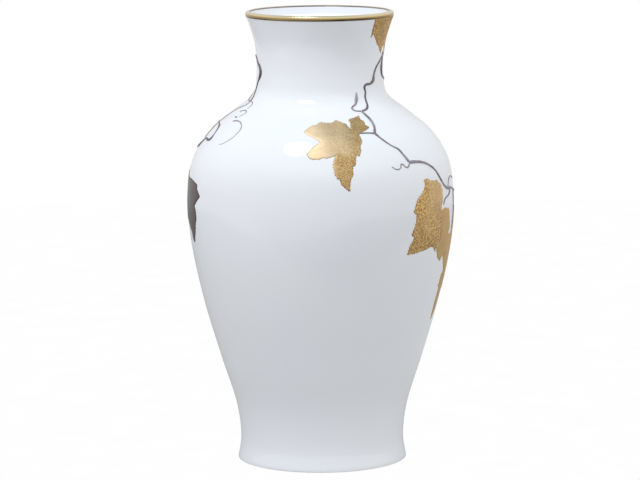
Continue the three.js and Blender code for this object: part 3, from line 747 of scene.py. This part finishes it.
def calculate(tree, operation, *values):
    """A math node over numbers and sockets."""
    made = node(tree, "ShaderNodeMath", operation=operation)
    for socket, value in zip(made.inputs, values):
        feed(tree, socket, value)
    return made.outputs["Value"]


def rising(tree, value, low, high, interpolation="SMOOTHSTEP"):
    """0 below low, 1 above high and a smooth or straight change between."""
    made = node(tree, "ShaderNodeMapRange", interpolation_type=interpolation)
    made.inputs["From Min"].default_value = low
    made.inputs["From Max"].default_value = high
    tree.links.new(value, made.inputs["Value"])
    return made.outputs["Result"]


def remap(tree, factor, low, high):
    """0 to 1 turned into low to high."""
    made = node(tree, "ShaderNodeMapRange")
    made.inputs["To Min"].default_value = low
    made.inputs["To Max"].default_value = high
    tree.links.new(factor, made.inputs["Value"])
    return made.outputs["Result"]


def bump(tree, shader, height, strength, distance):
    made = node(tree, "ShaderNodeBump")
    made.inputs["Strength"].default_value = strength
    made.inputs["Distance"].default_value = distance
    tree.links.new(height, made.inputs["Height"])
    tree.links.new(made.outputs["Normal"], shader.inputs["Normal"])


# The sockets that a mix node has for colours.
MIX_FACTOR_AND_COLOURS = (0, 6, 7)
MIX_RESULT = 2


def mix_colour(tree, factor, a, b, blend="MIX"):
    made = node(tree, "ShaderNodeMix", data_type="RGBA", blend_type=blend)
    for number, value in zip(MIX_FACTOR_AND_COLOURS, (factor, a, b)):
        feed(tree, made.inputs[number], value)
    return made.outputs[MIX_RESULT]


def dress(tree, shader, colour, roughness, metallic=0.0):
    """Give a shader its colour, roughness and metallic, each a socket or a value."""
    for name, value in (("Base Color", colour), ("Roughness", roughness), ("Metallic", metallic)):
        feed(tree, shader.inputs[name], value)


# The gilding's colour from its lower edge (0) to the top of the lip (1): browner and darker below, where the
# gilding thins out, and painted reflection too, light towards the top where it stands for the bright ceiling
# and dark below where it stands for the dim room.
LIP_GOLD_AND_PAINTED_REFLECTION_BY_HEIGHT = [
    (0.0, (0.12, 0.105, 0.055)), (0.12, (0.12, 0.105, 0.055)), (0.25, (0.34, 0.25, 0.12)),
    (0.5, (0.46, 0.33, 0.15)), (0.68, (0.75, 0.62, 0.35)), (0.9, (0.95, 0.86, 0.62)),
]
# Painted shade: the gilding is given a darker grey where it faces the inside.
INNER_GOLD_SHADE = (0.3, 0.27, 0.24)  # where the gilding faces the inside
INNER_GOLD_BEGINS = 0.4  # how far inwards of the middle of the lip
INNER_GOLD_FULL = 1.2
GILDING_FADE = 0.2  # the scale of heights begins this far below the gilding


def glaze_material(name, low, high, painted_glow=0.0):
    """Clear glaze over porcelain that wanders between two tones. Any emission is painted light: a faint even
    glow that stands in for light through the wall.
    """
    material, tree, shader = new_material(name)
    cloud = noise_texture(tree, 14, 3)
    colour = ramp(tree, cloud, [(0.3, low), (0.7, high)])
    smear = noise_texture(tree, 60, 4)
    dress(tree, shader, colour, remap(tree, smear, 0.035, 0.09))
    shader.inputs["IOR"].default_value = 1.52
    shader.inputs["Emission Color"].default_value = (0.97, 0.98, 1, 1)
    shader.inputs["Emission Strength"].default_value = painted_glow
    bump(tree, shader, noise_texture(tree, 90, 2), 0.05, 0.0004)
    return material


def bisque_material():
    material, tree, shader = new_material("bare_foot_ring")
    speckle = noise_texture(tree, 900, 5)
    colour = ramp(tree, speckle, [(0.35, (0.72, 0.7, 0.66)), (0.65, (0.82, 0.8, 0.77))])
    dress(tree, shader, colour, 0.85)
    bump(tree, shader, speckle, 0.3, 0.0002)
    return material


def lip_gold_material():
    """Burnished, with painted reflection by height: light towards the top, browner towards the dark line
    below where the gilding thins out and the dim room would be reflected. Painted shade makes it a darker
    grey where it faces the inside.
    """
    material, tree, shader = new_material("burnished_gold")
    brushed = noise_texture(tree, 40, 6, (1, 1, 40))
    x, y, z = object_place(tree)
    share = rising(tree, z, (GILT_BAND_BOTTOM - GILDING_FADE) * MM, OVERALL_HEIGHT * MM, "LINEAR")
    gold_and_reflection_by_height = ramp(tree, share, LIP_GOLD_AND_PAINTED_REFLECTION_BY_HEIGHT)
    shade = ramp(tree, brushed, [(0.3, (0.86, 0.84, 0.8)), (0.7, (1, 1, 1))])
    outer_gold = mix_colour(tree, 1.0, gold_and_reflection_by_height, shade, "MULTIPLY")
    squares = calculate(tree, "MULTIPLY_ADD", x, x, calculate(tree, "MULTIPLY", y, y))
    radius = calculate(tree, "SQRT", squares)
    inner_edge, outer_edge = LIP_RING_RADIUS - INNER_GOLD_FULL, LIP_RING_RADIUS - INNER_GOLD_BEGINS
    outer = rising(tree, radius, inner_edge * MM, outer_edge * MM)
    colour = mix_colour(tree, outer, (*INNER_GOLD_SHADE, 1), outer_gold)
    dress(tree, shader, colour, remap(tree, brushed, 0.14, 0.26), 1)
    bump(tree, shader, brushed, 0.15, 0.0001)
    return material


def attribute_value(tree, name):
    return node(tree, "ShaderNodeAttribute", attribute_name=name).outputs["Fac"]


def leaf_material(name, silk, raised, sunk, metallic, roughness, bump_strength):
    """Gold or enamel: silk where it is brushed smooth, raised where it is stippled, and the sunk colour both
    for its fine dark grain and for the painted shade in its grooves, veins and edges.
    """
    material, tree, shader = new_material(name)
    patches = noise_texture(tree, 110, 4)
    grain = noise_texture(tree, 1500, 3)
    stippled = ramp(tree, patches, [(0.35, tuple(0.8 * c for c in raised)), (0.62, raised)])
    brushed = ramp(tree, patches, [(0.35, tuple(0.87 * c for c in silk)), (0.65, silk)])
    bright = mix_colour(tree, attribute_value(tree, "silk"), stippled, brushed)
    grained = mix_colour(tree, remap(tree, grain, 0, 0.3), bright, (*sunk, 1))
    # Painted shade from the leaf's attribute mixes the colour towards the groove colour.
    colour = mix_colour(tree, attribute_value(tree, "painted_shade"), grained, (*sunk, 1))
    dress(tree, shader, colour, remap(tree, patches, *roughness), metallic)
    bump(tree, shader, grain, bump_strength, 0.0002)
    return material


def cane_material(name, dark, light, metallic):
    """Lustrous enamel that wanders between two tones, with a fine grain."""
    material, tree, shader = new_material(name)
    patches = noise_texture(tree, 160, 4)
    colour = ramp(tree, patches, [(0.35, dark), (0.65, light)])
    dress(tree, shader, colour, remap(tree, patches, 0.3, 0.5), metallic)
    bump(tree, shader, noise_texture(tree, 1200, 3), 0.25, 0.0002)
    return material


# ---- Stage: floor, lights and camera ----

FLOOR_RADIUS = 1300
FLOOR_SIDES = 96
FLOOR_DROP = 0.05  # how far the floor lies below the foot
FLOOR_GLOW = 0.47  # what lights the vase from below
# Where that changes: the shares of x and y that make up a distance, the distances where a change begins and
# is full, and the change.
FLOOR_GLOW_CHANGES = [
    (0.3, -1, 295, 325, -0.42),  # nearly dark in front
    (-0.6, -1, 500, 800, 0.63),  # bright again farther away in front and at the left
    (1, 0.5, 120, 300, 0.16),  # brighter at the right
]
HORIZON_GLOW = (0.8, 0.78, 0.76)
HORIZON = -0.02  # heights in the room are the sine of the angle above the horizon
HIGH_WALLS_BEGIN = 0.2
HIGH_WALLS_FULL = 0.6
CEILING_BEGINS = 0.65
CEILING_FULL = 0.95
# Light from the lower and the upper part of the room's walls.
LOW_WALLS = {
    "front": (0.86, 0.90, 0.93), "left": (1.04, 1.00, 1.01),
    "right": (1.18, 1.14, 1.12), "back": (0.74, 0.72, 0.74),
}
HIGH_WALLS = {
    "front": (1.36, 1.29, 1.33), "left": (0.94, 0.92, 0.96),
    "right": (0.94, 0.94, 0.95), "back": (0.71, 0.66, 0.66),
}
CEILING = (0.53, 0.65, 0.67)
KEY_LIGHT_SIZE = 460
KEY_LIGHT_PLACE = (-380, -495, 1500)
KEY_LIGHT_AIM = (0, 0, 200)
KEY_LIGHT_RADIANCE = 10
KEY_LIGHT_COLOUR = (0.96, 1, 1.05)


def floor_glow(tree):
    """How strongly each place of the floor lights the vase."""
    x, y, _ = object_place(tree)
    glow = FLOOR_GLOW
    for x_share, y_share, begin, full, change in FLOOR_GLOW_CHANGES:
        across = calculate(tree, "MULTIPLY", x, x_share)
        place = calculate(tree, "MULTIPLY_ADD", y, y_share, across)
        amount = rising(tree, place, begin * MM, full * MM)
        glow = calculate(tree, "MULTIPLY_ADD", amount, change, glow)
    return glow


def floor_material():
    """White paper to the camera, and to everything else a floor that only glows."""
    material, tree, shader = new_material("pale_floor")
    shader.inputs["Base Color"].default_value = (0, 0, 0, 1)
    shader.inputs["Specular IOR Level"].default_value = 0
    paper = noise_texture(tree, 30, 3)
    tint = ramp(tree, paper, [(0.3, (0.985, 0.985, 0.985)), (0.7, (1, 1, 1))])
    tree.links.new(tint, shader.inputs["Emission Color"])
    seen = node(tree, "ShaderNodeLightPath").outputs["Is Camera Ray"]
    hidden = calculate(tree, "SUBTRACT", 1.0, seen)
    strength = calculate(tree, "MULTIPLY_ADD", hidden, floor_glow(tree), seen)
    tree.links.new(strength, shader.inputs["Emission Strength"])
    return material


def make_floor():
    """A round white floor that the vase stands on."""
    vertices, faces = lathe([(FLOOR_RADIUS, 0), (0, 0)], closed=False, segments=FLOOR_SIDES)
    mesh = bpy.data.meshes.new("pale_floor")
    mesh.from_pydata(vertices, [], faces)
    mesh.materials.append(floor_material())
    floor = new_object("pale_floor", mesh)
    floor.location.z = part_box("porcelain_body")[0].z - FLOOR_DROP * MM


def make_key_light():
    """A round softbox that gives the radiance asked for whatever its size."""
    lamp = bpy.data.lights.new("key_softbox", "AREA")
    lamp.shape = "DISK"
    lamp.size = KEY_LIGHT_SIZE * MM
    lamp.energy = KEY_LIGHT_RADIANCE * math.pi * math.pi * (KEY_LIGHT_SIZE * MM / 2) ** 2
    lamp.color = KEY_LIGHT_COLOUR
    made = new_object("key_softbox", lamp)
    made.location = Vector(KEY_LIGHT_PLACE) * MM
    ahead = Vector(KEY_LIGHT_AIM) * MM - made.location
    made.rotation_mode = "QUATERNION"
    made.rotation_quaternion = ahead.to_track_quat("-Z", "Y")
    made.visible_camera = False


def room_light(tree):
    """Colour of the room by direction: four walls that fade into each other, a ceiling and a glow below."""
    split = node(tree, "ShaderNodeSeparateXYZ")
    tree.links.new(node(tree, "ShaderNodeTexCoord").outputs["Generated"], split.inputs["Vector"])
    x, y, z = split.outputs
    high = rising(tree, z, HIGH_WALLS_BEGIN, HIGH_WALLS_FULL)
    top = rising(tree, z, CEILING_BEGINS, CEILING_FULL)
    above = calculate(tree, "GREATER_THAN", z, HORIZON)
    below = calculate(tree, "SUBTRACT", 1.0, above)
    low_band = calculate(tree, "SUBTRACT", above, high)
    high_band = calculate(tree, "SUBTRACT", high, top)
    across = calculate(tree, "MULTIPLY", x, x)
    along = calculate(tree, "MULTIPLY", y, y)
    level = calculate(tree, "MAXIMUM", calculate(tree, "ADD", across, along), 0.0001)
    shares = {}
    for axis, square, less, more in ((x, across, "left", "right"), (y, along, "front", "back")):
        share = calculate(tree, "DIVIDE", square, level)
        for side, test in ((less, "LESS_THAN"), (more, "GREATER_THAN")):
            on_side = calculate(tree, test, axis, 0.0)
            shares[side] = calculate(tree, "MULTIPLY", share, on_side)
    parts = [(top, CEILING), (below, HORIZON_GLOW)]
    for band, walls in ((low_band, LOW_WALLS), (high_band, HIGH_WALLS)):
        for side, colour in walls.items():
            parts.append((calculate(tree, "MULTIPLY", band, shares[side]), colour))
    total = None
    for amount, colour in parts:
        adder = node(tree, "ShaderNodeVectorMath", operation="MULTIPLY_ADD")
        tree.links.new(amount, adder.inputs[0])
        adder.inputs[1].default_value = colour
        if total is not None:
            tree.links.new(total, adder.inputs[2])
        total = adder.outputs["Vector"]
    return total


def make_world():
    """Pale walls and ceiling for the light and the reflections, and plain white to the camera."""
    world = bpy.data.worlds.new("studio")
    world.use_nodes = True
    bpy.context.scene.world = world
    tree = world.node_tree
    room = tree.nodes["Background"]
    tree.links.new(room_light(tree), room.inputs["Color"])
    white = node(tree, "ShaderNodeBackground")
    white.inputs["Color"].default_value = (1, 1, 1, 1)
    pick = node(tree, "ShaderNodeMixShader")
    tree.links.new(node(tree, "ShaderNodeLightPath").outputs["Is Camera Ray"], pick.inputs["Fac"])
    tree.links.new(room.outputs["Background"], pick.inputs[1])
    tree.links.new(white.outputs["Background"], pick.inputs[2])
    tree.links.new(pick.outputs["Shader"], tree.nodes["World Output"].inputs["Surface"])


def make_camera():
    camera = bpy.data.cameras.new("camera")
    camera.lens = CAMERA_LENS
    camera.sensor_width = CAMERA_SENSOR
    camera.clip_end = 20
    made = new_object("camera", camera)
    pitch = Matrix.Rotation(math.radians(90 - CAMERA_PITCH), 4, "X")
    yaw = Matrix.Rotation(math.radians(CAMERA_YAW), 4, "Z")
    roll = Matrix.Rotation(math.radians(CAMERA_ROLL), 4, "Z")
    place = Matrix.Translation(Vector((0, -CAMERA_DISTANCE, CAMERA_HEIGHT)) * MM)
    made.matrix_world = place @ yaw @ pitch @ roll
    bpy.context.scene.camera = made


# ---- Assembly ----

LEAF_SEED_STEP = 11.3  # so that each leaf and stroke has its own noise
STROKE_SEED_STEP = 5.7


def moved(points, start, end, flip, size, turn):
    """Wall coordinates mirrored if flip, resized and turned about start, and moved to have start at end."""
    swing = math.radians(turn)
    made = []
    for azimuth, climb in points:
        radius = float(wall_at(climb)[0])
        across = math.radians(azimuth - start[0]) * radius * size * (-1 if flip else 1)
        up = (climb - start[1]) * size
        x = across * math.cos(swing) - up * math.sin(swing)
        y = across * math.sin(swing) + up * math.cos(swing)
        new_climb = end[1] + y
        made.append((end[0] + math.degrees(x / float(wall_at(new_climb)[0])), new_climb))
    return made


def even(strength):
    """The same stipple all over the leaf."""
    return lambda x, y: np.full(len(x), strength)


def front_leaf_stipple(x, y):
    """Smooth on the left and in the middle, stippled on the right and on the long lower lobe."""
    right = 0.85 * smoothstep(0.42, 0.78, x)
    below = (1 - smoothstep(0.35, 0.55, y)) * smoothstep(0.3, 0.45, x)
    left_lobe = 0.3 * (1 - smoothstep(0.5, 0.6, y)) * (1 - smoothstep(0.1, 0.35, x))
    middle = 0.4 * smoothstep(0.1, 0.5, x)
    return 0.05 + 0.85 * np.maximum.reduce([right, below, left_lobe, middle])


def plain_leaf_stipple(x, y):
    """Brushed flat near the stalk and grained below."""
    return 0.06 + 0.5 * (1 - smoothstep(0.55, 0.72, y))


def stippled_leaf_stipple(x, y):
    """Deepest along the left side and below, and finer towards the stalk."""
    return 0.55 + 0.45 * np.maximum(1 - smoothstep(0.3, 0.75, x), 1 - smoothstep(0.3, 0.7, y))


def reused_leaf(outline, tips, end, flip, size, turn):
    """Another leaf's outline and tips with its first corner moved to end, still counter-clockwise."""
    shape = moved(outline, outline[0], end, flip, size, turn)
    return (shape[::-1] if flip else shape), moved(tips, outline[0], end, flip, size, turn)


def make_leaves():
    silk = (0.76, 0.58, 0.37)
    # The pale silk of the front leaf's smooth lobes is partly their satin finish and partly a painted sheen
    # of the key light spread over them.
    pale_silk_and_sheen = (0.98, 0.77, 0.53)
    flat_gold = (0.68, 0.46, 0.2)
    ridge = (0.88, 0.64, 0.29)
    dull_ridge = (0.66, 0.48, 0.22)
    # groove is the colour of the fine dark grain and of the painted shade in a leaf's grooves, veins and
    # edges; so is the last graphite tone.
    groove = (0.3, 0.14, 0.028)
    graphite = (0.075, 0.053, 0.047), (0.06, 0.042, 0.038), (0.03, 0.021, 0.02)
    gold = leaf_material("stippled_gold", silk, ridge, groove, 0.85, (0.36, 0.5), 0.35)
    satin = leaf_material("satin_gold", pale_silk_and_sheen, dull_ridge, groove, 0.85, (0.38, 0.52), 0.35)
    plain = leaf_material("plain_gold", flat_gold, ridge, groove, 0.8, (0.4, 0.52), 0.25)
    dark = leaf_material("graphite_enamel", *graphite, 0.3, (0.24, 0.36), 0.3)
    back_gold = reused_leaf(FRONT_LEAF, FRONT_LEAF_TIPS, (188, 226), True, 0.8, 80)
    back_dark = reused_leaf(DARK_LEAF, DARK_LEAF_TIPS, (146, 188), False, 1, 14)
    hanging = reused_leaf(DARK_LEAF, DARK_LEAF_TIPS, (220.5, 188), True, 1, -10)
    leaves = [
        ("lip_gold_leaf", LIP_LEAF, LIP_LEAF_TIPS, (79, 317), even(1.0), gold),
        ("front_gold_leaf", FRONT_LEAF, FRONT_LEAF_TIPS, (19.5, 236), front_leaf_stipple, satin),
        ("stippled_gold_leaf", STIPPLED_LEAF, STIPPLED_LEAF_TIPS, (63.5, 180), stippled_leaf_stipple, gold),
        ("plain_gold_leaf", PLAIN_LEAF, PLAIN_LEAF_TIPS, (80.5, 159), plain_leaf_stipple, plain),
        ("left_dark_leaf", DARK_LEAF, DARK_LEAF_TIPS, (-88, 195.5), even(0.25), dark),
        ("back_gold_leaf", *back_gold, (188, 227), even(0.5), gold),
        ("back_dark_leaf", *back_dark, (146, 187), even(0.25), dark),
        ("back_hanging_gold_leaf", *hanging, (220.5, 187), even(0.85), gold),
    ]
    for number, (name, corners, tips, stalk, stipple, material) in enumerate(leaves):
        make_leaf(name, corners, tips, stalk, stipple, material, LEAF_SEED_STEP * number)


def make_strokes():
    mauve = cane_material("mauve_enamel", (0.2, 0.185, 0.205), (0.35, 0.325, 0.355), 0.5)
    dark = cane_material("dark_lustre", (0.09, 0.08, 0.085), (0.22, 0.205, 0.2), 0.5)
    pale = cane_material("thin_enamel", (0.27, 0.25, 0.26), (0.4, 0.375, 0.39), 0.4)
    tones = dict.fromkeys(DARK_STROKES, dark) | dict.fromkeys(PALE_STROKES, pale)
    for number, (name, path) in enumerate(STROKES.items()):
        make_stroke(name, path, tones.get(name, mauve), STROKE_SEED_STEP * number)


make_camera()
make_world()
make_floor()
make_key_light()
bpy.context.scene.view_settings.view_transform = "Standard"

make_body(
    glaze=glaze_material("glazed_porcelain", (0.845, 0.878, 0.92), (0.865, 0.893, 0.93)),
    # A whiter copy of the glaze with a faint glow for the inside: painted light.
    inner_glaze_painted_light=glaze_material("glazed_inside_painted_light", (0.955, 0.96, 0.975), (0.965, 0.97, 0.98), 0.1),
    bisque=bisque_material(),
)
make_gilt_band(lip_gold_material())
make_leaves()
make_strokes()
